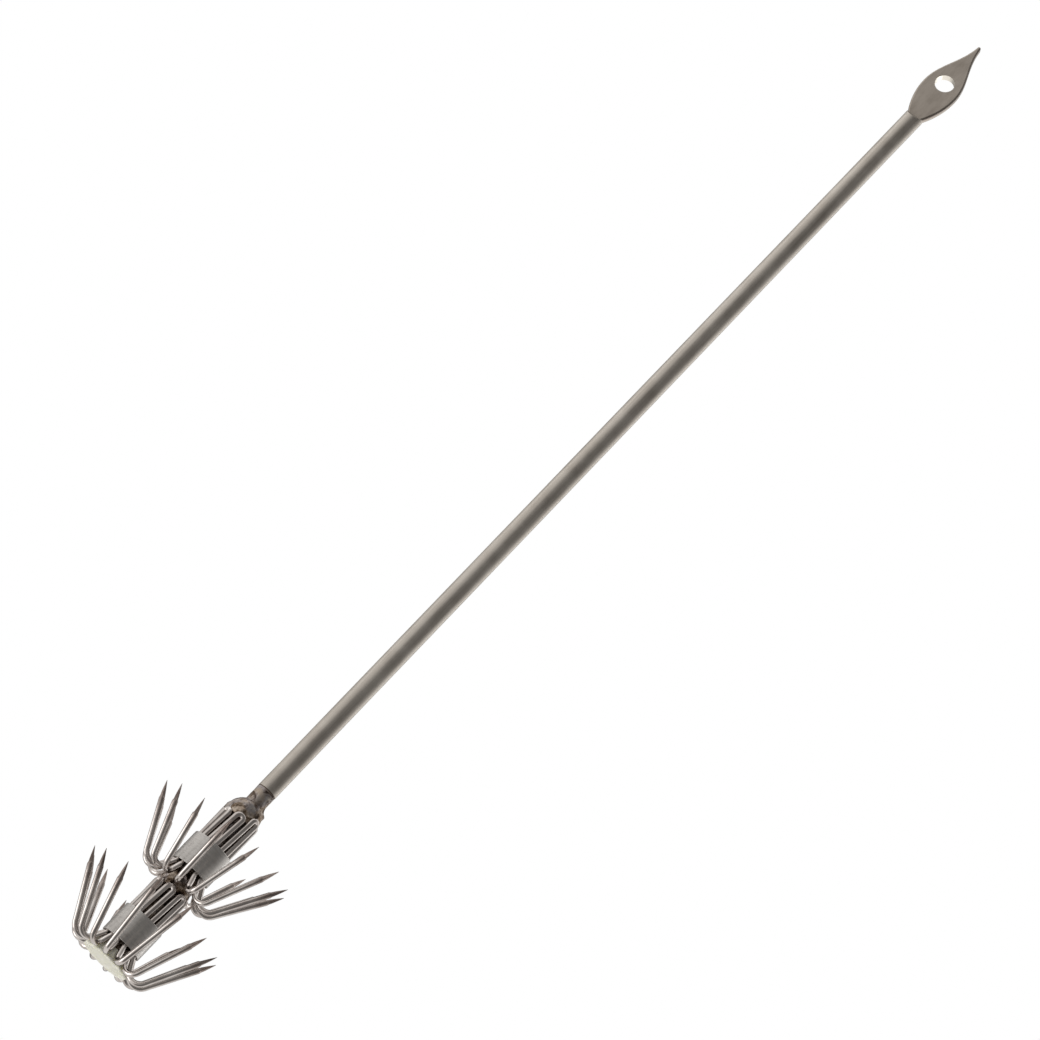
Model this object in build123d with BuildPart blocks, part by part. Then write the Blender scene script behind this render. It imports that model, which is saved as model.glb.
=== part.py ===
"""Bait-spike squid jig: a tube shank with a flat spear blade at one end and two crowns of
upturned barbless points at the other, closed by a cast resin cap.

Millimetres. The origin is the centre of the line eye in the spear blade. +Z runs along the
shank to the spear's tip, and the blade's flat faces look along -Y and +Y.
"""

from math import asin, cos, degrees, pi, radians, sin, sqrt, tan
import os

from build123d import *

# Fits
slip = 0.02  # radial gap of every sliding, clamped or soldered fit

# Spear blade
blade_width = 7.35
blade_thickness = 1.5
blade_edge_round = 0.3
blade_tip_width = 0.66
eye_diameter = 3.8
eye_to_tip = 11.05  # eye centre to the blade's tip
eye_to_shank = 9.3  # eye centre to the shank's upper end
cheek_below_eye = 1.7  # the blade is widest this far below the eye
neck_step = 0.3  # the blade's neck stands this far inside the shank's outline
shoulder_pull = (0.45, 0.7)  # curve handle at the neck, outwards and up
cheek_pull = (3.8, 4.7)  # curve handles at the cheek, down and up
tip_pull = (0.5, 5.3)  # curve handle at the tip, outwards and down
tang_length = 6.0

# Shank and the rod through both crowns
shank_length = 180.0
shank_wall = 0.255
shank_bevel = 1.0  # drop of the two slopes ground on the shank's upper end
rod_diameter = 3.2
rod_in_shank = 8.0
rod_stub = 3.3  # solder-coated rod between the shank and the solder's shoulder

# Hook wire and how it is bent
wire_diameter = 1.05
pairs = 7  # double hooks in a crown, two points each
leg_gap = 0.39  # between neighbouring legs where the band clamps them
leg_taper = 0.25  # the legs' circle is this much smaller at the top
leg_lean = 4.5  # degrees, each leg leans sideways
leg_rise = 9.6  # band's middle to the wire centre over a double hook's top
knee_radius = 1.2
knee_gap = 0.27  # band's lower edge to the knee's corner
flare_angle = 30.0  # degrees from the shank's axis, below the band
flare_run = 6.1  # knee corner to bend corner
bend_radius = 2.07
point_angle = 29.6  # degrees from the shank's axis, above the bend
point_run = 16.1  # bend corner to point
lower_point_extra = 0.5  # the lower crown's points are this much longer
top_roundness = 0.48  # radius over the top, as a share of the legs' spacing; 0.5 is a half circle
grind_length = 3.2
point_diameter = 0.14

# Crowns
solder_height = 2.9  # shoulder of solder, from the coated rod to the hook tops
solder_step = 0.03  # the coated rod stands this far inside the shank's outline
shoulder_swell = (0.6, 0.35)  # curve handle at the shoulder's top, outwards and down
shoulder_rise = 1.45  # curve handle over the hook tops, upwards
band_height = 5.8
band_wall = 0.25
band_edge_round = 0.1
crown_pitch = 16.9  # upper crown to lower crown
lower_crown_turn = -3.0  # degrees
upper_crown_sway = 0.65  # the upper crown's points lean this far towards +X
lower_crown_sway = -0.3
uneven_points = {  # points left longer than the rest of their crown: crown, double hook and leg
    ("lower", 1, "right"): 2.2,
    ("lower", 2, "left"): 2.2,
    ("lower", 6, "left"): 1.0,
}
waist_bulge = 0.1  # of the solder between the crowns

# Resin cap
cap_diameter = 9.4
cap_side = 0.48  # height of its rim, below the bends that it hugs
cap_floor = 0.4  # resin under the rod's end
cap_above_knee = 1.2
cap_edge_round = 0.3
cap_clearance = 0.05  # around the lower hooks' bends

# Radii, from the rod outwards
rod_r = rod_diameter / 2
wire_r = wire_diameter / 2
bore_r = rod_r + slip
shank_r = bore_r + shank_wall
half_pitch = pi / (2 * pairs)
leg_circle_r = (wire_diameter + leg_gap) / (2 * sin(half_pitch))
leg_top_r = leg_circle_r - leg_taper
sleeve_r = leg_circle_r - wire_r - slip

# Heights
shank_top = -eye_to_shank
shank_bottom = shank_top - shank_length
hook_top = leg_rise + wire_r  # above a band's middle
knee_drop = band_height / 2 + knee_gap  # below a band's middle
sleeve_top_r = sleeve_r - leg_taper * (hook_top + knee_drop) / (leg_rise + knee_drop)
upper_crown = shank_bottom - rod_stub - solder_height - hook_top
lower_crown = upper_crown - crown_pitch


def export(piece, name):
    """Label a finished piece and write its STEP file."""
    piece.part.label = name
    export_step(piece.part, f"parts/{name}.step")


def on_crown(radius, height, turn, crown, aside=0.0):
    """A point on a crown: turn is in radians from -Y towards +X, aside is sideways."""
    x = radius * sin(turn) + aside * cos(turn)
    y = -radius * cos(turn) + aside * sin(turn)
    return Vector(x, y, crown + height)


def hook_leg(turn, crown, sway, extra):
    """Corner points of half a double hook: point, bend, knee and top of its leg. Its point
    leans by sway towards +X and is longer by extra."""
    flare, lift, lean = radians(flare_angle), radians(point_angle), tan(radians(leg_lean))
    bend_corner_r = leg_circle_r + flare_run * sin(flare)
    bend_corner_z = -knee_drop - flare_run * cos(flare)
    point_r = bend_corner_r + (point_run + extra) * sin(lift)
    point_z = bend_corner_z + (point_run + extra) * cos(lift)
    return [
        on_crown(point_r, point_z, turn, crown) + Vector(sway, 0, 0),
        on_crown(bend_corner_r, bend_corner_z, turn, crown),
        on_crown(leg_circle_r, -knee_drop, turn, crown, -knee_drop * lean),
        on_crown(leg_top_r, leg_rise, turn, crown, leg_rise * lean),
    ]


def double_hook(middle_turn, crown, sway, extras):
    """One wire bent into two legs joined over the top, with a ground point on each end."""
    left = hook_leg(middle_turn - half_pitch, crown, sway, extras[0])
    right = hook_leg(middle_turn + half_pitch, crown, sway, extras[1])
    top_radius = top_roundness * (right[-1] - left[-1]).length
    corners = left[1:] + right[:0:-1]
    radii = [bend_radius, knee_radius, top_radius, top_radius, knee_radius, bend_radius]
    ends = [point + (bend - point).normalized() * grind_length
            for point, bend in (left[:2], right[:2])]
    with BuildPart() as wire:
        with BuildLine() as route:
            FilletPolyline(ends[0], *corners, ends[1], radius=radii)
        with BuildSketch(Plane(origin=route.line @ 0, z_dir=route.line % 0)):
            Circle(wire_r)
        sweep(path=route.line)
        for point, grind_start in zip((left[0], right[0]), ends):
            outward = point - grind_start
            with BuildSketch(Plane(origin=grind_start, z_dir=outward)):
                Circle(wire_r)
            with BuildSketch(Plane(origin=point, z_dir=outward)):
                Circle(point_diameter / 2)
            loft()
    return wire


def turned(outline_points):
    """A ring turned around Z from its half section, given as (radius, height) points."""
    with BuildPart() as ring:
        with BuildSketch(Plane.XZ):
            with BuildLine():
                Polyline(*outline_points, close=True)
            make_face()
        revolve(axis=Axis.Z)
    return ring


def shank_slopes():
    """The wedge-shaped space above the two slopes on the shank's upper end."""
    half = blade_thickness / 2
    beyond = 2 * shank_r
    low = shank_top - shank_bevel * (beyond - half) / (shank_r - half)
    with BuildPart() as space:
        with BuildSketch(Plane.YZ):
            for side in (1, -1):
                with BuildLine():
                    Polyline((side * half, shank_top), (side * beyond, low),
                             (side * beyond, shank_top + shank_bevel),
                             (side * half, shank_top + shank_bevel), close=True)
                make_face()
        extrude(amount=beyond, both=True)
    return space.part


os.makedirs("parts", exist_ok=True)

# Spear blade: a flat leaf with a blunt tip, the line eye, and a tang inside the shank
neck = shank_r - neck_step
cheek = blade_width / 2
tip_r = blade_tip_width / 2
tang_width = 2 * sqrt(rod_r**2 - (blade_thickness / 2) ** 2)
with BuildPart() as spear_blade:
    with BuildSketch(Plane.XZ):
        with BuildLine():
            Bezier((neck, shank_top), (neck + shoulder_pull[0], shank_top + shoulder_pull[1]),
                   (cheek, -cheek_below_eye - cheek_pull[0]), (cheek, -cheek_below_eye))
            Bezier((cheek, -cheek_below_eye), (cheek, -cheek_below_eye + cheek_pull[1]),
                   (tip_r + tip_pull[0], eye_to_tip - tip_pull[1]), (tip_r, eye_to_tip - tip_r))
            CenterArc((0, eye_to_tip - tip_r), tip_r, 0, 90)
            mirror(about=Plane.YZ)
            Line((-neck, shank_top), (neck, shank_top))
        make_face()
    extrude(amount=blade_thickness / 2, both=True)
    flat_faces = spear_blade.faces().filter_by(Axis.Y)
    outline = flat_faces.edges().filter_by(GeomType.LINE, reverse=True)
    fillet(outline, radius=blade_edge_round)
    with BuildSketch(Plane.XZ):
        Circle(eye_diameter / 2)
    extrude(amount=blade_thickness, both=True, mode=Mode.SUBTRACT)
    with BuildSketch(Plane.XY.offset(shank_top - tang_length)):
        Rectangle(tang_width, blade_thickness)
    extrude(amount=tang_length)
export(spear_blade, "spear_blade")

# Shank tube, its upper end sloped down from the blade's faces
with BuildPart() as shank_tube:
    with BuildSketch(Plane.XY.offset(shank_bottom)):
        Circle(shank_r)
        Circle(bore_r, mode=Mode.SUBTRACT)
    extrude(amount=shank_length)
    add(shank_slopes(), mode=Mode.SUBTRACT)
export(shank_tube, "shank_tube")

# Solder that fills the shank's mouth around the tang
with BuildPart() as spear_solder:
    with BuildSketch(Plane.XY.offset(shank_top - tang_length)):
        Circle(bore_r)
        Rectangle(tang_width, blade_thickness, mode=Mode.SUBTRACT)
    extrude(amount=tang_length)
    add(shank_slopes(), mode=Mode.SUBTRACT)
export(spear_solder, "spear_solder")

# Centre of the hooks' bends, from a band's middle, and the cap that hugs them
flare = radians(flare_angle)
bend_turn = pi - flare - radians(point_angle)
flare_left = flare_run - bend_radius * tan(bend_turn / 2)  # straight part, knee to bend
bend_centre_r = leg_circle_r + flare_left * sin(flare) + bend_radius * cos(flare)
bend_centre_z = -knee_drop - flare_left * cos(flare) + bend_radius * sin(flare)
cap_r = cap_diameter / 2
hug_r = bend_radius + wire_r + cap_clearance
rim_turn = asin((bend_centre_r - cap_r) / hug_r)
cap_bottom = lower_crown + bend_centre_z - hug_r * cos(rim_turn) - cap_side

# Rod through both crowns
rod_end = cap_bottom + cap_floor
rod_top = shank_bottom + rod_in_shank
with BuildPart() as core_rod:
    with BuildSketch(Plane.XY.offset(rod_end)):
        Circle(rod_r)
    extrude(amount=rod_top - rod_end)
export(core_rod, "core_rod")

# Solder that coats the rod below the shank and swells over the upper hooks' tops
coat_r = shank_r - solder_step
shoulder_top = shank_bottom - rod_stub
shoulder_bottom = upper_crown + hook_top + slip
shoulder_r = leg_top_r + wire_r / 2
with BuildPart() as top_solder:
    with BuildSketch(Plane.XZ):
        with BuildLine():
            Polyline((bore_r, shank_bottom), (coat_r, shank_bottom), (coat_r, shoulder_top))
            Bezier((coat_r, shoulder_top), (coat_r + shoulder_swell[0], shoulder_top - shoulder_swell[1]),
                   (shoulder_r, shoulder_bottom + shoulder_rise), (shoulder_r, shoulder_bottom))
            Polyline((shoulder_r, shoulder_bottom), (bore_r, shoulder_bottom), (bore_r, shank_bottom))
        make_face()
    revolve(axis=Axis.Z)
export(top_solder, "top_solder")

# Both crowns: seven double hooks, a sleeve inside their legs and a clamping band outside
for crown_name, crown, crown_turn, sway, point_extra in (
    ("upper", upper_crown, 0.0, upper_crown_sway, 0.0),
    ("lower", lower_crown, radians(lower_crown_turn), lower_crown_sway, lower_point_extra),
):
    for number in range(1, pairs + 1):
        middle_turn = crown_turn + 4 * half_pitch * (number - 1)
        extras = [point_extra + uneven_points.get((crown_name, number, leg), 0.0)
                  for leg in ("left", "right")]
        export(double_hook(middle_turn, crown, sway, extras), f"{crown_name}_double_hook_{number}")

    sleeve_top, sleeve_bottom = crown + hook_top, crown - knee_drop
    sleeve = turned([(bore_r, sleeve_bottom), (sleeve_r, sleeve_bottom),
                     (sleeve_top_r, sleeve_top), (bore_r, sleeve_top)])
    export(sleeve, f"{crown_name}_sleeve")

    band_inside = leg_circle_r + wire_r + slip
    band_outside = band_inside + band_wall
    with BuildPart() as band:
        with BuildSketch(Plane.XY.offset(crown - band_height / 2)):
            Circle(band_outside)
            Circle(band_inside, mode=Mode.SUBTRACT)
        extrude(amount=band_height)
        outer_rims = band.edges().filter_by(GeomType.CIRCLE).sort_by(SortBy.RADIUS)[-2:]
        fillet(outer_rims, radius=band_edge_round)
    export(band, f"{crown_name}_band")

# Solder between the crowns, from the upper sleeve to the tops of the lower hooks
waist_top = upper_crown - knee_drop
waist_bottom = lower_crown + hook_top + slip
with BuildPart() as middle_solder:
    with BuildSketch(Plane.XZ):
        with BuildLine():
            Line((bore_r, waist_top), (sleeve_r, waist_top))
            ThreePointArc((sleeve_r, waist_top),
                          ((sleeve_r + leg_top_r) / 2 + waist_bulge, (waist_top + waist_bottom) / 2),
                          (leg_top_r, waist_bottom))
            Polyline((leg_top_r, waist_bottom), (bore_r, waist_bottom), (bore_r, waist_top))
        make_face()
    revolve(axis=Axis.Z)
export(middle_solder, "middle_solder")

# Resin cap: fills the lower hooks' throat, follows the inside of their bends and covers
# the rod's end
bend_centre = (bend_centre_r, lower_crown + bend_centre_z)
cap_top = lower_crown - knee_drop - cap_above_knee
inset = (wire_r + cap_clearance) / cos(flare)
throat_r = leg_circle_r + cap_above_knee * tan(flare) - inset
with BuildPart() as end_cap:
    with BuildSketch(Plane.XZ):
        with BuildLine():
            Line((rod_r, cap_top), (throat_r, cap_top))
            hug = CenterArc(bend_centre, hug_r, 180 + flare_angle, 90 - flare_angle - degrees(rim_turn))
            Line((throat_r, cap_top), hug @ 0)
            Polyline(hug @ 1, (cap_r, cap_bottom), (0, cap_bottom), (0, rod_end), (rod_r, rod_end),
                     (rod_r, cap_top))
        make_face()
    revolve(axis=Axis.Z)
    fillet(end_cap.edges().group_by(Axis.Z)[0], radius=cap_edge_round)
export(end_cap, "end_cap")
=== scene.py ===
"""Looks of the spiked squid jig: brushed tube and blade, polished hook wire with ground points,
heat-tinted solder and a milky resin cap. Metres, in the CAD model's own frame.
"""

import math
import random

import bmesh
import bpy
from mathutils import Matrix, Vector, noise


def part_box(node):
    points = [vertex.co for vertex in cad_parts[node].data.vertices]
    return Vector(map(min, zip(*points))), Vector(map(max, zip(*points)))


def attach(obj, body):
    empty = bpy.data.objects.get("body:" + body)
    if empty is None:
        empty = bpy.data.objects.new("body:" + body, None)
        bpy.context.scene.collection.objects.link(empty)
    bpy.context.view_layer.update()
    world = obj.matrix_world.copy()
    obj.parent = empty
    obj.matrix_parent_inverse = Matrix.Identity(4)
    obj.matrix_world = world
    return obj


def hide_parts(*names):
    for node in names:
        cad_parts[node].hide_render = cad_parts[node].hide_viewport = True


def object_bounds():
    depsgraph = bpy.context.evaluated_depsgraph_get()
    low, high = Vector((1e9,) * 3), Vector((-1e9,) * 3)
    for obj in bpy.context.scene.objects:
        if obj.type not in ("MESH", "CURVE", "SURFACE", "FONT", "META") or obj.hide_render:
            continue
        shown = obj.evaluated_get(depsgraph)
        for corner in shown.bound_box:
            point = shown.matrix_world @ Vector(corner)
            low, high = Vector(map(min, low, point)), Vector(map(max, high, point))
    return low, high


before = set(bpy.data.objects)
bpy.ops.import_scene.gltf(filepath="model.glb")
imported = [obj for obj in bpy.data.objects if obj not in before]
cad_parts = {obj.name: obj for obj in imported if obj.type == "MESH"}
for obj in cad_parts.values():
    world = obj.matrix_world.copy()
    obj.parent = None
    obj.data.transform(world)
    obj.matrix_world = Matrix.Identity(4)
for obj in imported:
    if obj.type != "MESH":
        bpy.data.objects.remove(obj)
cad_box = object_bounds()

MM = 0.001
jig_middle = (cad_box[0] + cad_box[1]) / 2


# ---------------------------------------------------------------- camera, floor and light

VIEW_AZIMUTH = math.radians(18.8)
VIEW_ELEVATION = math.radians(-19.65)
VIEW_ROLL = math.radians(43.87)
VIEW_DISTANCE = 0.596
VIEW_LENS = 116.4
CLIP_START = 0.01
AIM_ASIDE = -0.98 * MM  # from the middle of the jig, to the right in the view
AIM_ABOVE = -12.89 * MM

LIGHT_DISTANCE = 0.9
LIGHTS = (
    # name, degrees from the camera's azimuth, elevation, width, height, watts, shows in the metal
    ("key", -100, 38, 0.22, 0.9, 0.45, True),
    ("kicker", 125, 20, 0.12, 0.9, 0.55, True),
    ("low_left", -80, -42, 0.45, 0.6, 1.5, True),
    ("fill", -10, -60, 0.9, 0.9, 1.9, False),
)

TENT_COLOUR = (1.0, 0.985, 0.965, 1)
TENT_DARK = 0.19  # strength in the openings
TENT_BRIGHT = 0.68  # what the walls add to it
TENT_OPENINGS = (
    # azimuth from the camera's, elevation, angle where it starts to darken, angle where it is dark
    (25, 20, 76, 34),
    (188, 10, 48, 18),
    (30, -45, 46, 24),
)

FLOOR_HEIGHT = -0.5
FLOOR_SIZE = 30.0
FLOOR_GRAIN = 60.0
FLOOR_TONES = ((0.92, 0.92, 0.91, 1), (0.96, 0.96, 0.95, 1))
FLOOR_ROUGHNESS = 0.9


def direction(azimuth, elevation):
    """Unit vector from the jig; azimuth 0 is -Y and 90 degrees is +X."""
    return Vector((math.sin(azimuth) * math.cos(elevation),
                   -math.cos(azimuth) * math.cos(elevation),
                   math.sin(elevation)))


def make_camera():
    """The jig seen from below, close to the crowns, with its shank running up to the right."""
    back = direction(VIEW_AZIMUTH, VIEW_ELEVATION)
    right = direction(VIEW_AZIMUTH + math.pi / 2, 0)
    aim = Vector((0, 0, jig_middle.z + AIM_ABOVE)) + right * AIM_ASIDE
    data = bpy.data.cameras.new("camera")
    data.lens = VIEW_LENS
    data.clip_start = CLIP_START
    camera = bpy.data.objects.new("camera", data)
    bpy.context.scene.collection.objects.link(camera)
    upright = (-back).to_track_quat("-Z", "Y").to_matrix().to_4x4()
    camera.matrix_world = (Matrix.Translation(aim + back * VIEW_DISTANCE)
                           @ upright @ Matrix.Rotation(VIEW_ROLL, 4, "Z"))
    bpy.context.scene.camera = camera


def make_light(name, aside, elevation, width, height, power, in_metal):
    """A soft box that looks at the middle of the jig."""
    data = bpy.data.lights.new(name, "AREA")
    data.shape = "RECTANGLE"
    data.size, data.size_y, data.energy = width, height, power
    lamp = bpy.data.objects.new(name, data)
    bpy.context.scene.collection.objects.link(lamp)
    out = direction(VIEW_AZIMUTH + math.radians(aside), math.radians(elevation))
    lamp.location = jig_middle + out * LIGHT_DISTANCE
    lamp.rotation_mode = "QUATERNION"
    lamp.rotation_quaternion = (-out).to_track_quat("-Z", "Y")
    lamp.visible_glossy = in_metal


def node_maker(tree):
    """A short way to add a node: make(type, {input: value or socket}, attribute=value, ...)."""
    def make(kind, inputs=None, **settings):
        node = tree.nodes.new(kind)
        for name, value in settings.items():
            setattr(node, name, value)
        for name, value in (inputs or {}).items():
            if isinstance(value, bpy.types.NodeSocket):
                tree.links.new(value, node.inputs[name])
            else:
                node.inputs[name].default_value = value
        return node
    return make


def product(make, first, second):
    return make("ShaderNodeMath", {0: first, 1: second}, operation="MULTIPLY").outputs[0]


def make_world():
    """White to the camera; to the metal, a bright tent with dark openings in front, below and behind."""
    world = bpy.data.worlds.new("studio")
    bpy.context.scene.world = world
    world.use_nodes = True
    tree = world.node_tree
    tree.nodes.clear()
    make = node_maker(tree)
    way = make("ShaderNodeTexCoord").outputs["Generated"]
    tent = None
    for azimuth, elevation, fade_angle, dark_angle in TENT_OPENINGS:
        toward = direction(VIEW_AZIMUTH + math.radians(azimuth), math.radians(elevation))
        dot = make("ShaderNodeVectorMath", {0: way, 1: toward}, operation="DOT_PRODUCT")
        wall = make("ShaderNodeMapRange",
                    {"Value": dot.outputs["Value"], "From Min": math.cos(math.radians(fade_angle)),
                     "From Max": math.cos(math.radians(dark_angle)), "To Min": 1.0, "To Max": 0.0},
                    interpolation_type="SMOOTHSTEP").outputs[0]
        tent = wall if tent is None else product(make, tent, wall)
    strength = make("ShaderNodeMath", {0: tent, 1: TENT_BRIGHT, 2: TENT_DARK},
                    operation="MULTIPLY_ADD").outputs[0]
    tint = make("ShaderNodeBackground", {"Color": TENT_COLOUR, "Strength": strength})
    white = make("ShaderNodeBackground", {"Color": (1, 1, 1, 1), "Strength": 1.0})
    ray = make("ShaderNodeLightPath").outputs["Is Camera Ray"]
    mix = make("ShaderNodeMixShader", {0: ray, 1: tint.outputs[0], 2: white.outputs[0]})
    make("ShaderNodeOutputWorld", {"Surface": mix.outputs[0]})


def make_floor():
    """Pale paper, out of the metal's sight."""
    mesh = bpy.data.meshes.new("floor")
    half = FLOOR_SIZE / 2
    corners = [(-half, -half), (half, -half), (half, half), (-half, half)]
    mesh.from_pydata([(x, y, FLOOR_HEIGHT) for x, y in corners], [], [(0, 1, 2, 3)])
    floor = bpy.data.objects.new("floor", mesh)
    bpy.context.scene.collection.objects.link(floor)
    material = bpy.data.materials.new("floor_paper")
    material.use_nodes = True
    shader = material.node_tree.nodes["Principled BSDF"]
    make = node_maker(material.node_tree)
    grain = make("ShaderNodeTexNoise", {"Scale": FLOOR_GRAIN, "Detail": 4.0})
    pale = make("ShaderNodeValToRGB", {"Fac": grain.outputs["Fac"]})
    for element, tone in zip(pale.color_ramp.elements, FLOOR_TONES):
        element.color = tone
    material.node_tree.links.new(pale.outputs["Color"], shader.inputs["Base Color"])
    shader.inputs["Roughness"].default_value = FLOOR_ROUGHNESS
    mesh.materials.append(material)
    floor.visible_glossy = False
    floor.visible_shadow = False  # two of the lights stand below it


make_camera()
make_world()
for light in LIGHTS:
    make_light(*light)
make_floor()
bpy.context.scene.view_settings.view_transform = "Standard"


# ---------------------------------------------------------------- materials

# Ramps are (place, colour) pairs.
NOISE_LOW, NOISE_HIGH = 0.3, 0.7  # most of a noise's values lie between them
SATIN_BLOTCHES = 0.45  # share of the blotches, the rest is streaks
SATIN_DARK, SATIN_LIGHT = 0.32, 0.68  # places on the ramp
SATIN_POLISH = (-0.06, 0.08)  # how the roughness varies
SATIN_BUMP, SATIN_BUMP_STRENGTH = 0.02 * MM, 0.35
FACE_LEVEL, EDGE_LEVEL = 0.97, 0.5  # how squarely a surface faces Y: the blade's face, its cut edge
EYE_RADIUS = 1.9 * MM
EYE_HIGHLIGHT_REACH = (0.15 * MM, 0.35 * MM)  # outside the eye's radius, where the painted highlight on the eye's wall starts to fade and where it is gone
# painted highlight: the eye's wall is coloured near white for the light it catches
EYE_WALL_HIGHLIGHT = (0.98, 0.93, 0.84)
# dark band on the blade's cut edge, darker towards one face
CUT_EDGE_DARK = (0.13, 0.105, 0.09)
CUT_EDGE_DARK_DEPTH = (0.1 * MM, -0.45 * MM)  # across the blade's thickness, from faint to full darkening of the cut edge
CUT_EDGE_DARK_SHARE = (0.1, 1.0)
WIRE_BRIGHT = ((0.34, (0.42, 0.37, 0.345)), (0.62, (0.68, 0.64, 0.61)))
WIRE_BROWN = ((0.35, (0.20, 0.155, 0.135)), (0.65, (0.37, 0.31, 0.28)))
WIRE_STAINS, WIRE_BUMP_STAINS = 0.5, 0.4  # share of the stains, the rest is streaks
WIRE_ROUGHNESS = (0.13, 0.34)  # of bright and of brown wire
WIRE_BUMP, WIRE_BUMP_STRENGTH = 0.006 * MM, 0.25
HEAT_TINT = (
    (0.30, (0.36, 0.25, 0.17)), (0.42, (0.60, 0.49, 0.36)), (0.52, (0.58, 0.53, 0.48)),
    (0.60, (0.38, 0.38, 0.45)), (0.67, (0.60, 0.66, 0.74)), (0.76, (0.62, 0.57, 0.52)),
)
SOLDER_GREY = ((0.30, (0.08, 0.055, 0.04)), (0.45, (0.30, 0.24, 0.195)), (0.64, (0.56, 0.51, 0.46)))
HEAT_SHARE = 0.35
FLUX_BELOW, FLUX_ABOVE = 0.08, 0.12  # width of the flux's fade on either side of its share
FLUX_DARK, FLUX_BROWN, FLUX_CLEAR = (0.06, 0.045, 0.035), (0.33, 0.275, 0.23), (0.84, 0.82, 0.81)
SOLDER_POLISH = (0.3, 0.65, 0.7, 0.38)  # mottle from, to; roughness from, to
SOLDER_BUMP, SOLDER_BUMP_STRENGTH = 0.1 * MM, 0.6
SEAM_COLOUR = (0.10, 0.065, 0.045)
SEAM_WIDTH = 0.2 * MM
SEAM_WAVE = 0.2 * MM
RESIN_CLOUDS = ((0.3, (0.66, 0.65, 0.54)), (0.5, (0.74, 0.725, 0.63)), (0.7, (0.80, 0.785, 0.71)))
RESIN_GLOSS = 0.2
RESIN_ROUGHNESS = (0.32, 0.5)
RESIN_SCATTER, RESIN_SCATTER_RADIUS, RESIN_SCATTER_SCALE = 0.5, (1.0, 1.0, 0.8), 1.0 * MM
RESIN_BUMP, RESIN_BUMP_STRENGTH = 0.04 * MM, 0.35


def new_material(name, metallic):
    """An empty principled material; returns it with its shader, its node maker and its links."""
    material = bpy.data.materials.new(name)
    material.use_nodes = True
    tree = material.node_tree
    shader = tree.nodes["Principled BSDF"]
    shader.inputs["Metallic"].default_value = metallic
    return material, shader, node_maker(tree), tree.links


def stretched(make, source, scale):
    """Texture coordinates scaled by a different amount along each axis."""
    return make("ShaderNodeMapping", {"Vector": source, "Scale": scale}).outputs[0]


def noise_of(make, vector, scale, detail=4.0, roughness=0.55, distortion=0.0):
    return make("ShaderNodeTexNoise", {"Vector": vector, "Scale": scale, "Detail": detail,
                                       "Roughness": roughness, "Distortion": distortion}).outputs[0]


def ramp_of(make, factor, stops):
    """A colour ramp; stops are (place, (r, g, b))."""
    node = make("ShaderNodeValToRGB", {"Fac": factor})
    ramp = node.color_ramp
    while len(ramp.elements) < len(stops):
        ramp.elements.new(0.5)
    for element, (place, colour) in zip(ramp.elements, stops):
        element.position = place
        element.color = (*colour, 1)
    return node.outputs["Color"]


def span_of(make, value, low, high, to_low=0.0, to_high=1.0):
    return make("ShaderNodeMapRange", {"Value": value, "From Min": low, "From Max": high,
                                       "To Min": to_low, "To Max": to_high}).outputs[0]


def mixed(make, factor, first, second, blend="MIX"):
    node = make("ShaderNodeMix", data_type="RGBA", blend_type=blend)
    tree = node.id_data
    for socket, value in ((node.inputs[0], factor), (node.inputs[6], first), (node.inputs[7], second)):
        if isinstance(value, bpy.types.NodeSocket):
            tree.links.new(value, socket)
        else:
            socket.default_value = value if isinstance(value, float) else (*value, 1)
    return node.outputs[2]


def bumped(make, links, shader, height, distance, strength):
    bump = make("ShaderNodeBump", {"Height": height, "Distance": distance, "Strength": strength})
    links.new(bump.outputs["Normal"], shader.inputs["Normal"])


def satin_steel(name, light, dark, roughness, along, fine):
    """Satin stainless steel: drawn or rolled streaks, soft blotches and uneven polish.
    along is the scale of the streaks on each axis, fine how fine they are."""
    material, shader, make, links = new_material(name, metallic=1.0)
    place = make("ShaderNodeTexCoord").outputs["Object"]
    streaks = noise_of(make, stretched(make, place, along), scale=fine, detail=6.0, roughness=0.65)
    blotches = noise_of(make, place, scale=260.0, detail=3.0)
    both = mixed(make, SATIN_BLOTCHES, streaks, blotches)
    links.new(ramp_of(make, both, ((SATIN_DARK, dark), (SATIN_LIGHT, light))),
              shader.inputs["Base Color"])
    polish = (roughness + change for change in SATIN_POLISH)
    links.new(span_of(make, both, NOISE_LOW, NOISE_HIGH, *polish), shader.inputs["Roughness"])
    bumped(make, links, shader, streaks, SATIN_BUMP, SATIN_BUMP_STRENGTH)
    return material


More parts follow.
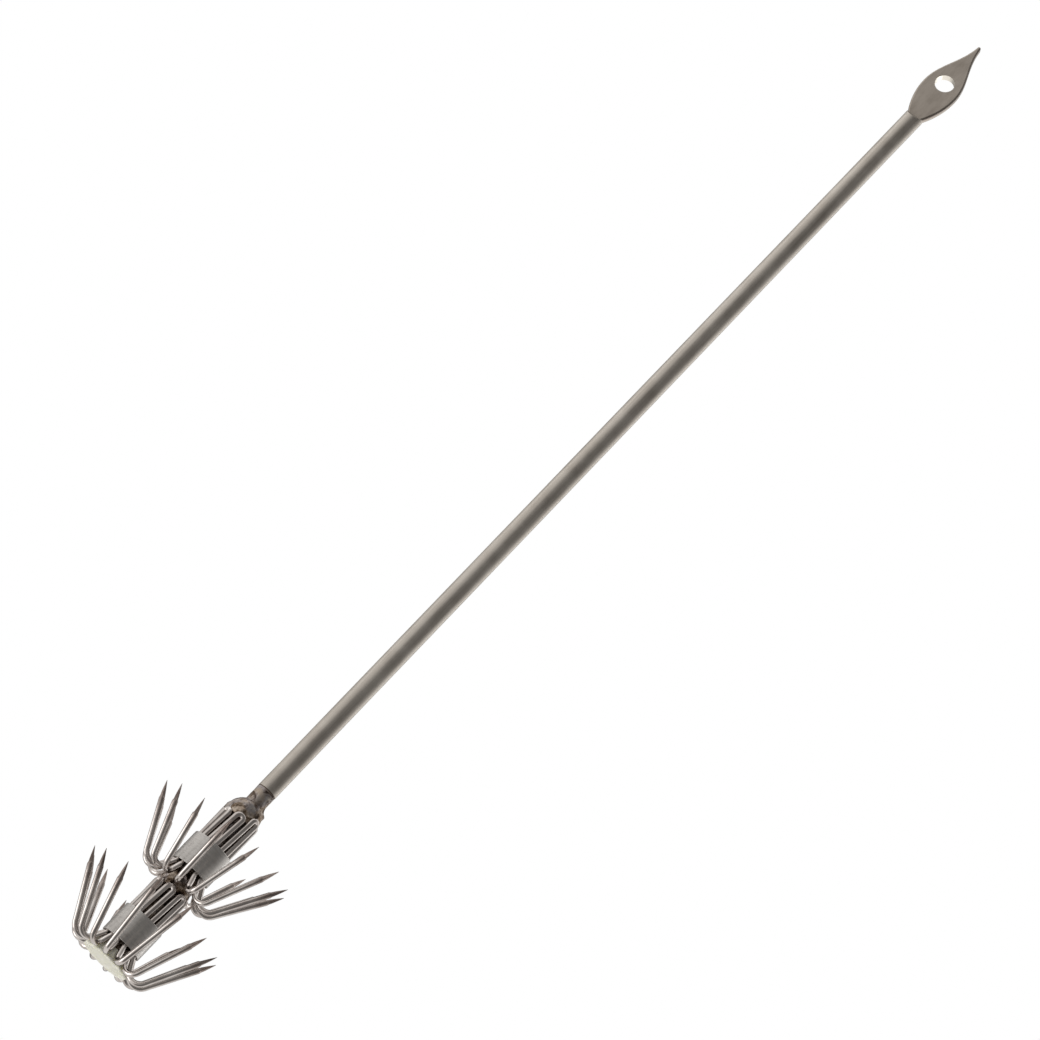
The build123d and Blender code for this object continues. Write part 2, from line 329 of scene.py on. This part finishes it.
def blade_material():
    """The spear blade's satin steel: its cut edge is dark towards one face,
    and the wall of the line eye carries a painted highlight: it is coloured near white."""
    material = satin_steel("blade_steel", light=(0.53, 0.475, 0.42), dark=(0.37, 0.325, 0.28),
                           roughness=0.36, along=(1.0, 1.0, 0.25), fine=900.0)
    shader = material.node_tree.nodes["Principled BSDF"]
    make = node_maker(material.node_tree)
    normal = make("ShaderNodeNewGeometry").outputs["Normal"]
    across = make("ShaderNodeVectorMath", {0: normal, 1: (0.0, 1.0, 0.0)}, operation="DOT_PRODUCT")
    flat = make("ShaderNodeMath", {0: across.outputs["Value"]}, operation="ABSOLUTE").outputs[0]
    place = make("ShaderNodeTexCoord").outputs["Object"]
    reach = make("ShaderNodeVectorMath", {0: place}, operation="LENGTH").outputs["Value"]
    # painted highlight on the eye's wall, fading out just outside the eye's radius
    highlight_end, edge_start = (EYE_RADIUS + step for step in EYE_HIGHLIGHT_REACH)
    outside = span_of(make, reach, highlight_end, edge_start)
    inside = span_of(make, outside, 0.0, 1.0, 1.0, 0.0)
    cut = span_of(make, flat, FACE_LEVEL, EDGE_LEVEL)
    # the cut edge is darkened, more towards one face
    depth = make("ShaderNodeSeparateXYZ", {"Vector": place}).outputs["Y"]
    edge_dark_share = span_of(make, depth, *CUT_EDGE_DARK_DEPTH, *CUT_EDGE_DARK_SHARE)
    plain = shader.inputs["Base Color"].links[0].from_socket
    edged = mixed(make, product(make, product(make, cut, outside), edge_dark_share), plain, CUT_EDGE_DARK)
    # the painted highlight goes on the eye's wall
    colour = mixed(make, product(make, cut, inside), edged, EYE_WALL_HIGHLIGHT)
    material.node_tree.links.new(colour, shader.inputs["Base Color"])
    return material


def hook_wire_material():
    """Polished wire: faint drawn streaks and stains, browner and duller towards the ground points."""
    material, shader, make, links = new_material("hook_wire", metallic=1.0)
    run = make("ShaderNodeAttribute", attribute_name="grain").outputs["Vector"]
    place = make("ShaderNodeTexCoord").outputs["Object"]
    streaks = noise_of(make, stretched(make, run, (1.0, 1.0, 0.03)), scale=2200.0, detail=3.0,
                       roughness=0.5)
    stains = noise_of(make, place, scale=420.0, detail=4.0, roughness=0.6)
    bright = ramp_of(make, mixed(make, WIRE_STAINS, streaks, stains), WIRE_BRIGHT)
    browned = make("ShaderNodeAttribute", attribute_name="browned").outputs["Fac"]
    brown = ramp_of(make, stains, WIRE_BROWN)
    links.new(mixed(make, browned, bright, brown), shader.inputs["Base Color"])
    links.new(span_of(make, browned, 0.0, 1.0, *WIRE_ROUGHNESS), shader.inputs["Roughness"])
    relief = mixed(make, WIRE_BUMP_STAINS, streaks, stains)
    bumped(make, links, shader, relief, WIRE_BUMP, WIRE_BUMP_STRENGTH)
    return material


def solder_material(name, dark_share, seam_height=None):
    """Brazing metal: mottled brown and grey with straw, violet and blue heat tint and dark flux.
    A dark seam runs round it at seam_height."""
    material, shader, make, links = new_material(name, metallic=1.0)
    place = make("ShaderNodeTexCoord").outputs["Object"]
    mottle = noise_of(make, place, scale=620.0, detail=6.0, roughness=0.62, distortion=0.8)
    tint = noise_of(make, place, scale=210.0, detail=3.0, roughness=0.5, distortion=1.5)
    grey, heat = ramp_of(make, mottle, SOLDER_GREY), ramp_of(make, tint, HEAT_TINT)
    both = mixed(make, HEAT_SHARE, grey, heat)
    flux = ramp_of(make, mottle, ((dark_share - FLUX_BELOW, FLUX_DARK), (dark_share, FLUX_BROWN),
                                  (dark_share + FLUX_ABOVE, FLUX_CLEAR)))
    colour = mixed(make, 1.0, both, flux, "MULTIPLY")
    if seam_height is not None:
        height = make("ShaderNodeSeparateXYZ", {"Vector": place}).outputs["Z"]
        wave = span_of(make, mottle, 0.0, 1.0, -SEAM_WAVE, SEAM_WAVE)
        wavy = make("ShaderNodeMath", {0: height, 1: wave}, operation="ADD").outputs[0]
        seam = span_of(make, wavy, seam_height - SEAM_WIDTH, seam_height - SEAM_WIDTH / 3)
        colour = mixed(make, seam, colour, SEAM_COLOUR)
    links.new(colour, shader.inputs["Base Color"])
    links.new(span_of(make, mottle, *SOLDER_POLISH), shader.inputs["Roughness"])
    bumped(make, links, shader, mottle, SOLDER_BUMP, SOLDER_BUMP_STRENGTH)
    return material


def resin_material():
    """Milky luminous resin: warm white with a green cast, cloudy, translucent, with a soft gloss."""
    material, shader, make, links = new_material("resin", metallic=0.0)
    place = make("ShaderNodeTexCoord").outputs["Object"]
    clouds = noise_of(make, place, scale=330.0, detail=5.0, roughness=0.6, distortion=0.6)
    links.new(ramp_of(make, clouds, RESIN_CLOUDS), shader.inputs["Base Color"])
    shader.inputs["Specular IOR Level"].default_value = RESIN_GLOSS
    shader.inputs["Subsurface Weight"].default_value = RESIN_SCATTER
    shader.inputs["Subsurface Radius"].default_value = RESIN_SCATTER_RADIUS
    shader.inputs["Subsurface Scale"].default_value = RESIN_SCATTER_SCALE
    links.new(span_of(make, clouds, NOISE_LOW, NOISE_HIGH, *RESIN_ROUGHNESS),
              shader.inputs["Roughness"])
    bumped(make, links, shader, noise_of(make, place, scale=900.0), RESIN_BUMP, RESIN_BUMP_STRENGTH)
    return material


# ---------------------------------------------------------------- hooks and how they are bent

WIRE = 0.525 * MM  # radius
PAIRS = 7
HALF_PITCH = math.pi / (2 * PAIRS)  # between two legs
LEG_SPACE = 0.39 * MM
LEG_CIRCLE = (2 * WIRE + LEG_SPACE) / (2 * math.sin(HALF_PITCH))
LEG_PULL_IN = 0.25 * MM
LEG_TOP_CIRCLE = LEG_CIRCLE - LEG_PULL_IN
LEG_LEAN = math.tan(math.radians(4.5))
LEG_RISE = 9.6 * MM  # above the band's middle
UNEVEN_TOPS = {("upper", 2): 1.1 * MM, ("upper", 3): 0.5 * MM, ("upper", 7): -0.4 * MM}
TOP_ROUNDNESS = 0.48  # share of the width between a hook's two legs
KNEE_GAP = 0.27 * MM
KNEE_RADIUS = 1.2 * MM
FLARE_ANGLE = math.radians(30.0)
FLARE_RUN = 6.1 * MM
BEND_RADIUS = 2.07 * MM
POINT_ANGLE = math.radians(29.6)
POINT_RUN = 16.1 * MM
LOWER_POINT_EXTRA = 0.5 * MM
UNEVEN_POINTS = {  # points longer than the rest of their crown: crown, double hook and leg
    ("lower", 1, "right"): 2.2 * MM,
    ("lower", 2, "left"): 2.2 * MM,
    ("lower", 6, "left"): 1.0 * MM,
}
UPPER_SWAY = 0.65 * MM  # how far all of a crown's points stand to one side
LOWER_SWAY = -0.3 * MM
LOWER_TURN = math.radians(-3.0)
HAND_BENT = 0.22 * MM  # how far each point strays from its place
WIRE_SIDES = 20
RUN_STEP = 1.6 * MM
ARC_STEP = math.radians(9)
GRIND_LENGTH = 3.2 * MM
GROUND_SHAPE = (
    # share of the ground length, share of the wire's radius
    (0.04, 0.99), (0.12, 0.93), (0.28, 0.83), (0.46, 0.68), (0.64, 0.50), (0.80, 0.32), (0.92, 0.17),
    (1.0, 0.07),
)
GROUND_START = 0.12  # share of the ground length over which round turns to four-sided
FACETED = 0.5  # from this share of four-sided the faces are flat
BROWN_FADE = 7.5 * MM  # from the tip, where the brown stain ends
BROWN_FULL = 2.0 * MM


def share_between(value, low, high):
    return min(1.0, max(0.0, (value - low) / (high - low)))


def on_crown(radius, height, turn, crown, aside=0.0):
    """A point on a crown: turn is in radians from -Y towards +X, aside is sideways."""
    return Vector((radius * math.sin(turn) + aside * math.cos(turn),
                   -radius * math.cos(turn) + aside * math.sin(turn),
                   crown + height))


def hook_leg(turn, crown, knee_drop, rise, sway, point_run, chance):
    """Corners of half a double hook, from its point to the top of its leg."""
    bend_circle = LEG_CIRCLE + FLARE_RUN * math.sin(FLARE_ANGLE)
    bend_height = -knee_drop - FLARE_RUN * math.cos(FLARE_ANGLE)
    point = on_crown(bend_circle + point_run * math.sin(POINT_ANGLE),
                     bend_height + point_run * math.cos(POINT_ANGLE), turn, crown)
    stray = on_crown(chance.uniform(-1, 0), chance.uniform(-1, 0), turn, 0.0, chance.uniform(-1, 1))
    return [point + Vector((sway, 0, 0)) + stray * HAND_BENT,
            on_crown(bend_circle, bend_height, turn, crown),
            on_crown(LEG_CIRCLE, -knee_drop, turn, crown, -knee_drop * LEG_LEAN),
            on_crown(LEG_TOP_CIRCLE, rise, turn, crown, rise * LEG_LEAN)]


def rounded_route(corners, radii):
    """Points along straight runs that tangent arcs join."""
    points = [corners[0]]

    def run_to(goal):
        last = points[-1]
        steps = max(1, round((goal - last).length / RUN_STEP))
        points.extend(last.lerp(goal, step / steps) for step in range(1, steps + 1))

    for before, corner, after, radius in zip(corners, corners[1:], corners[2:], radii):
        into, out = (corner - before).normalized(), (after - corner).normalized()
        turn = into.angle(out)
        start = corner - into * radius * math.tan(turn / 2)
        centre = corner + (out - into).normalized() * radius / math.cos(turn / 2)
        run_to(start)
        steps = math.ceil(turn / ARC_STEP)
        axis = into.cross(out)
        points.extend(centre + Matrix.Rotation(turn * step / steps, 3, axis) @ (start - centre)
                      for step in range(1, steps + 1))
    run_to(corners[-1])
    return points


def square_share(angle):
    """Radius of a square over that of its corners."""
    return math.cos(math.pi / 4) / max(abs(math.cos(angle)), abs(math.sin(angle)))


def wire_mesh(name, route, tips, chance):
    """Round wire along a route, ground to a four-sided point at each end."""
    facing = chance.uniform(0, math.pi / 2)
    rings = [(point, 1.0, 0.0) for point in route]  # centre, share of the radius, ground share
    for tip, start in ((tips[0], route[0]), (tips[1], route[-1])):
        ground = [(start.lerp(tip, share), size, min(1.0, share / GROUND_START))
                  for share, size in GROUND_SHAPE]
        rings = rings + ground if start is route[-1] else ground[::-1] + rings
    centres = [ring[0] for ring in rings]
    tangent = (centres[1] - centres[0]).normalized()
    side = tangent.orthogonal().normalized()
    points, grain, ground_marks, browned, along = [], [], [], [], 0.0
    for index, (centre, size, ground) in enumerate(rings):
        ahead = (centres[min(index + 1, len(rings) - 1)] - centres[max(index - 1, 0)]).normalized()
        side = (tangent.rotation_difference(ahead) @ side).normalized()
        tangent = ahead
        along += (centre - centres[max(index - 1, 0)]).length
        from_tip = min((centre - tip).length for tip in tips)
        stain = 1 - share_between(from_tip, BROWN_FULL, BROWN_FADE)
        for number in range(WIRE_SIDES):
            angle = 2 * math.pi * number / WIRE_SIDES
            radius = WIRE * size * (1 + ground * (square_share(angle) - 1))
            outward = Matrix.Rotation(angle + facing, 3, tangent) @ side
            points.append(centre + outward * radius)
            grain.append((math.cos(angle) * WIRE, math.sin(angle) * WIRE, along))
            ground_marks.append(ground)
            browned.append(stain)
    faces = []
    for index in range(len(rings) - 1):
        for number in range(WIRE_SIDES):
            a, b = index * WIRE_SIDES + number, index * WIRE_SIDES + (number + 1) % WIRE_SIDES
            faces.append((a, b, b + WIRE_SIDES, a + WIRE_SIDES))
    last = (len(rings) - 1) * WIRE_SIDES
    faces.append(tuple(range(WIRE_SIDES - 1, -1, -1)))
    faces.append(tuple(range(last, last + WIRE_SIDES)))
    mesh = bpy.data.meshes.new(name)
    mesh.from_pydata(points, [], faces)
    mesh.polygons.foreach_set("use_smooth", [
        all(ground_marks[vertex] < FACETED for vertex in face) for face in faces])
    mesh.attributes.new("grain", "FLOAT_VECTOR", "POINT").data.foreach_set(
        "vector", [value for place in grain for value in place])
    mesh.attributes.new("browned", "FLOAT", "POINT").data.foreach_set("value", browned)
    return mesh


def add_piece(name, mesh, material, cad_node):
    """Put a mesh in the scene in the place of a CAD node."""
    mesh.materials.append(material)
    piece = bpy.data.objects.new(name, mesh)
    bpy.context.scene.collection.objects.link(piece)
    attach(piece, "root")
    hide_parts(cad_node)


def make_crown(crown_name, crown_turn, sway, point_extra, material):
    """Seven double hooks round one band."""
    low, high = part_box(f"{crown_name}_band")
    crown = (low[2] + high[2]) / 2
    knee_drop = (high[2] - low[2]) / 2 + KNEE_GAP
    for number in range(1, PAIRS + 1):
        chance = random.Random(f"{crown_name} {number}")
        middle_turn = crown_turn + 4 * HALF_PITCH * (number - 1)
        rise = LEG_RISE + UNEVEN_TOPS.get((crown_name, number), 0.0)
        left, right = (
            hook_leg(middle_turn + side * HALF_PITCH, crown, knee_drop, rise, sway,
                     POINT_RUN + point_extra + UNEVEN_POINTS.get((crown_name, number, leg), 0.0), chance)
            for side, leg in ((-1, "left"), (1, "right")))
        ends = [point + (bend - point).normalized() * GRIND_LENGTH
                for point, bend in (left[:2], right[:2])]
        top_radius = TOP_ROUNDNESS * (right[-1] - left[-1]).length
        route = rounded_route([ends[0], *left[1:], *right[:0:-1], ends[1]],
                              [BEND_RADIUS, KNEE_RADIUS, top_radius, top_radius, KNEE_RADIUS,
                               BEND_RADIUS])
        name = f"{crown_name}_hook_wire_{number}"
        add_piece(name, wire_mesh(name, route, (left[0], right[0]), chance), material,
                  f"{crown_name}_double_hook_{number}")


# ---------------------------------------------------------------- solder and resin

RING_STEP = 0.14 * MM
RING_SIDES = 140
WELD = 1e-7
CURVE_STEPS = 14
SLIP = 0.02 * MM

STUB_STEP = 0.03 * MM  # the coated rod stands this far inside the shank's outline
STUB_HEIGHT = 3.3 * MM
STUB_LUMPS = 0.12  # share of the lumps' depth there
SHOULDER_SWELL, SHOULDER_DROP, SHOULDER_RISE = 0.6 * MM, 0.35 * MM, 1.45 * MM
FLOW_PROUD = 0.32 * MM  # solder between the hook tops, outside their circle
FLOW_DEPTH = 0.9 * MM  # how far it runs down below them
FLOW_WIDTH = 0.55  # radians
FLOW_FULL = 0.625  # share of the shoulder's height over which a flow swells
FLOWS = (
    # degrees round the rod, how far the shoulder swells there
    (-80, 0.2 * MM), (-20, -0.1 * MM), (40, -0.4 * MM), (95, -0.15 * MM), (160, 0.15 * MM),
    (215, 0.1 * MM),
)
BEAD_TURN, BEAD_WIDTH = math.radians(109), 0.4  # a drop on the shoulder's right
BEAD_SIZE, BEAD_DROP, BEAD_HEIGHT = 0.55 * MM, 0.3 * MM, 0.7 * MM

MIDDLE_DEPTH = 0.7 * MM
MIDDLE_SWELL, MIDDLE_DROP, MIDDLE_RISE = 0.3 * MM, 0.8 * MM, 1.2 * MM
MIDDLE_FADE = 0.6 * MM  # below its top, where the lumps reach their full depth

# Lumps are (depth, size, seed).
TOP_LUMPS = ((0.22 * MM, 1.1 * MM, 3.0), (0.10 * MM, 0.45 * MM, 9.0))
MIDDLE_LUMPS = ((0.30 * MM, 1.0 * MM, 21.0), (0.14 * MM, 0.4 * MM, 5.0))
CAP_LUMPS = ((1.0, 1.6 * MM, 33.0),)

CAP_SIDE = 0.48 * MM
CAP_EDGE = 0.3 * MM
CAP_EDGE_TURNS = (0, 22, 45, 68, 90)
CAP_CLEARANCE = 0.05 * MM
CAP_ARC_STEPS = 10
CAP_LOBES = 0.16 * MM  # its side swells between the legs
CAP_SIDE_LUMPS = 0.18 * MM
CAP_SHRINK = 0.1 * MM
CAP_SIDE_START = 0.6  # share of the rim's radius where the side's shape sets in
CAP_FACE_LUMPS = 0.08 * MM  # deep, and the face is raised by as much
CAP_FACE = (0.1, 0.5)  # shares of the rim's radius between which that sets in


def turned_mesh(name, outline, shape):
    """A solid turned round Z. outline is (radius, height) corners of its closed half section;
    shape(radius, height, turn) gives each point's own radius and height."""
    section = []
    for (r0, z0), (r1, z1) in zip(outline, outline[1:] + outline[:1]):
        count = max(1, round(math.hypot(r1 - r0, z1 - z0) / RING_STEP))
        section += [(r0 + (r1 - r0) * k / count, z0 + (z1 - z0) * k / count) for k in range(count)]
    grid = bmesh.new()
    rings = []
    for number in range(RING_SIDES):
        turn = 2 * math.pi * number / RING_SIDES
        ring = []
        for radius, height in section:
            r, z = shape(radius, height, turn)
            ring.append(grid.verts.new((r * math.sin(turn), -r * math.cos(turn), z)))
        rings.append(ring)
    for ring, after in zip(rings, rings[1:] + rings[:1]):
        for k, low in enumerate(ring):
            up = (k + 1) % len(ring)
            grid.faces.new((low, ring[up], after[up], after[k]))
    bmesh.ops.remove_doubles(grid, verts=grid.verts, dist=WELD)
    bmesh.ops.recalc_face_normals(grid, faces=grid.faces)
    for face in grid.faces:
        face.smooth = True
    mesh = bpy.data.meshes.new(name)
    grid.to_mesh(mesh)
    grid.free()
    return mesh


def curve(start, handle_a, handle_b, end):
    """Points of a cubic curve in a half section."""
    points = []
    for k in range(CURVE_STEPS + 1):
        t = k / CURVE_STEPS
        weights = ((1 - t) ** 3, 3 * t * (1 - t) ** 2, 3 * t * t * (1 - t), t ** 3)
        points.append(tuple(sum(w * p[axis] for w, p in zip(weights, (start, handle_a, handle_b, end)))
                            for axis in (0, 1)))
    return points


def lumps(radius, height, turn, layers):
    """Smooth noise on a turned surface, in layers of (depth, size, seed)."""
    place = Vector((radius * math.sin(turn), -radius * math.cos(turn), height))
    return sum(depth * noise.noise(place / size + Vector((seed, 0, 0))) for depth, size, seed in layers)


def hump(value, middle, width):
    """1 at the middle, fading smoothly within the width."""
    return math.exp(-((value - middle) / width) ** 2)


def turn_gap(turn, other):
    return abs((turn - other + math.pi) % (2 * math.pi) - math.pi)


def make_top_solder(material):
    """Solder that coats the rod, swells into a lumpy shoulder and runs down between the hook tops."""
    low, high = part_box("top_solder")
    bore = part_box("core_rod")[1][0] + SLIP
    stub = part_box("shank_tube")[1][0] - STUB_STEP
    shoulder, hooks = high[2] - STUB_HEIGHT, low[2]
    outside, inside = LEG_TOP_CIRCLE + FLOW_PROUD, LEG_TOP_CIRCLE - WIRE
    outline = [(bore, high[2]), (stub, high[2]),
               *curve((stub, shoulder), (stub + SHOULDER_SWELL, shoulder - SHOULDER_DROP),
                      (outside, hooks + SHOULDER_RISE), (outside, hooks - FLOW_DEPTH)),
               (inside, hooks - FLOW_DEPTH), (inside, hooks), (bore, hooks)]

    def shape(radius, height, turn):
        if radius < stub - STUB_STEP:
            return radius, height
        down = share_between(shoulder - height, 0.0, shoulder - hooks)
        lump = lumps(radius, height, turn, TOP_LUMPS) * (STUB_LUMPS + down)
        flow = sum(size * hump(turn_gap(turn, math.radians(at)), 0, FLOW_WIDTH) for at, size in FLOWS)
        bead = (BEAD_SIZE * hump(turn_gap(turn, BEAD_TURN), 0, BEAD_WIDTH)
                * hump(height, shoulder - BEAD_DROP, BEAD_HEIGHT))
        return radius + lump + flow * share_between(down, 0.0, FLOW_FULL) + bead, height

    add_piece("top_solder_flow", turned_mesh("top_solder_flow", outline, shape), material,
              "top_solder")


def make_middle_solder(material):
    """Rough solder between the crowns, run down between the lower hooks' tops."""
    low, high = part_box("middle_solder")
    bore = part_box("core_rod")[1][0] + SLIP
    neck = LEG_CIRCLE - WIRE - SLIP
    inside, bottom = LEG_TOP_CIRCLE - WIRE, low[2] - MIDDLE_DEPTH
    outline = [(bore, high[2]),
               *curve((neck, high[2]), (neck + MIDDLE_SWELL, high[2] - MIDDLE_DROP),
                      (LEG_TOP_CIRCLE, low[2] + MIDDLE_RISE), (LEG_TOP_CIRCLE, bottom)),
               (inside, bottom), (inside, low[2]), (bore, low[2])]

    def shape(radius, height, turn):
        if radius < neck - SLIP:
            return radius, height
        share = share_between(high[2] - height, 0.0, MIDDLE_FADE)
        return radius + lumps(radius, height, turn, MIDDLE_LUMPS) * share, height

    add_piece("middle_solder_flow", turned_mesh("middle_solder_flow", outline, shape), material,
              "middle_solder")


def make_resin_cap(material):
    """Cast resin that fills the lower hooks' throat and hugs their bends; its rim swells between them."""
    low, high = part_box("end_cap")
    rim = high[0]
    rod, rod_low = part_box("core_rod")[1][0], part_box("core_rod")[0][2]
    hug = BEND_RADIUS + WIRE + CAP_CLEARANCE
    flare_left = FLARE_RUN - BEND_RADIUS * math.tan((math.pi - FLARE_ANGLE - POINT_ANGLE) / 2)
    centre_r = LEG_CIRCLE + flare_left * math.sin(FLARE_ANGLE) + BEND_RADIUS * math.cos(FLARE_ANGLE)
    rim_turn = math.asin((centre_r - rim) / hug)
    centre_z = low[2] + CAP_SIDE + hug * math.cos(rim_turn)
    arc_turns = [rim_turn + (math.pi / 2 - FLARE_ANGLE - rim_turn) * k / CAP_ARC_STEPS
                 for k in range(CAP_ARC_STEPS + 1)]
    arc = [(centre_r - hug * math.sin(turn), centre_z - hug * math.cos(turn)) for turn in arc_turns]
    throat = arc[-1][0] - (high[2] - arc[-1][1]) * math.tan(FLARE_ANGLE)
    edge = [(rim - CAP_EDGE * (1 - math.cos(turn)), low[2] + CAP_EDGE * (1 - math.sin(turn)))
            for turn in map(math.radians, CAP_EDGE_TURNS)]
    outline = [(0.0, low[2]), *edge[::-1], *arc, (throat, high[2]), (rod, high[2]), (rod, rod_low),
               (0.0, rod_low)]
    first_leg = LOWER_TURN + HALF_PITCH
    face_start, face_full = (share * rim for share in CAP_FACE)

    def shape(radius, height, turn):
        if radius <= rod and height > low[2]:
            return radius, height
        lump = lumps(radius, height, turn, CAP_LUMPS)
        lobe = -math.cos(2 * PAIRS * (turn - first_leg))
        side = CAP_LOBES * lobe + CAP_SIDE_LUMPS * lump - CAP_SHRINK
        lift = CAP_FACE_LUMPS * (lump + 1) * share_between(radius, face_start, face_full)
        under = share_between(rod_low - height, 0.0, rod_low - low[2])
        return radius + side * share_between(radius, CAP_SIDE_START * rim, rim), height + lift * under

    add_piece("resin_cap", turned_mesh("resin_cap", outline, shape), material, "end_cap")


# ---------------------------------------------------------------- finish

blade = blade_material()
shank = satin_steel("shank_steel", light=(0.60, 0.56, 0.51), dark=(0.42, 0.38, 0.335),
                    roughness=0.42, along=(1.0, 1.0, 0.03), fine=2600.0)
band = satin_steel("band_steel", light=(0.62, 0.60, 0.575), dark=(0.46, 0.44, 0.42),
                   roughness=0.33, along=(0.2, 0.2, 1.0), fine=3000.0)
solder = solder_material("solder", dark_share=0.40, seam_height=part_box("shank_tube")[0][2])
dark_solder = solder_material("dark_solder", dark_share=0.46)
resin = resin_material()
wire = hook_wire_material()
looks = {"spear_blade": blade, "shank_tube": shank, "spear_solder": band, "core_rod": dark_solder,
         "top_solder": solder, "middle_solder": dark_solder, "upper_sleeve": dark_solder,
         "lower_sleeve": dark_solder, "upper_band": band, "lower_band": band, "end_cap": resin}
for node_name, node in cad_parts.items():
    node.data.materials.clear()
    node.data.materials.append(looks.get(node_name, wire))

make_crown("upper", 0.0, UPPER_SWAY, 0.0, wire)
make_crown("lower", LOWER_TURN, LOWER_SWAY, LOWER_POINT_EXTRA, wire)
make_top_solder(solder)
make_middle_solder(dark_solder)
make_resin_cap(resin)
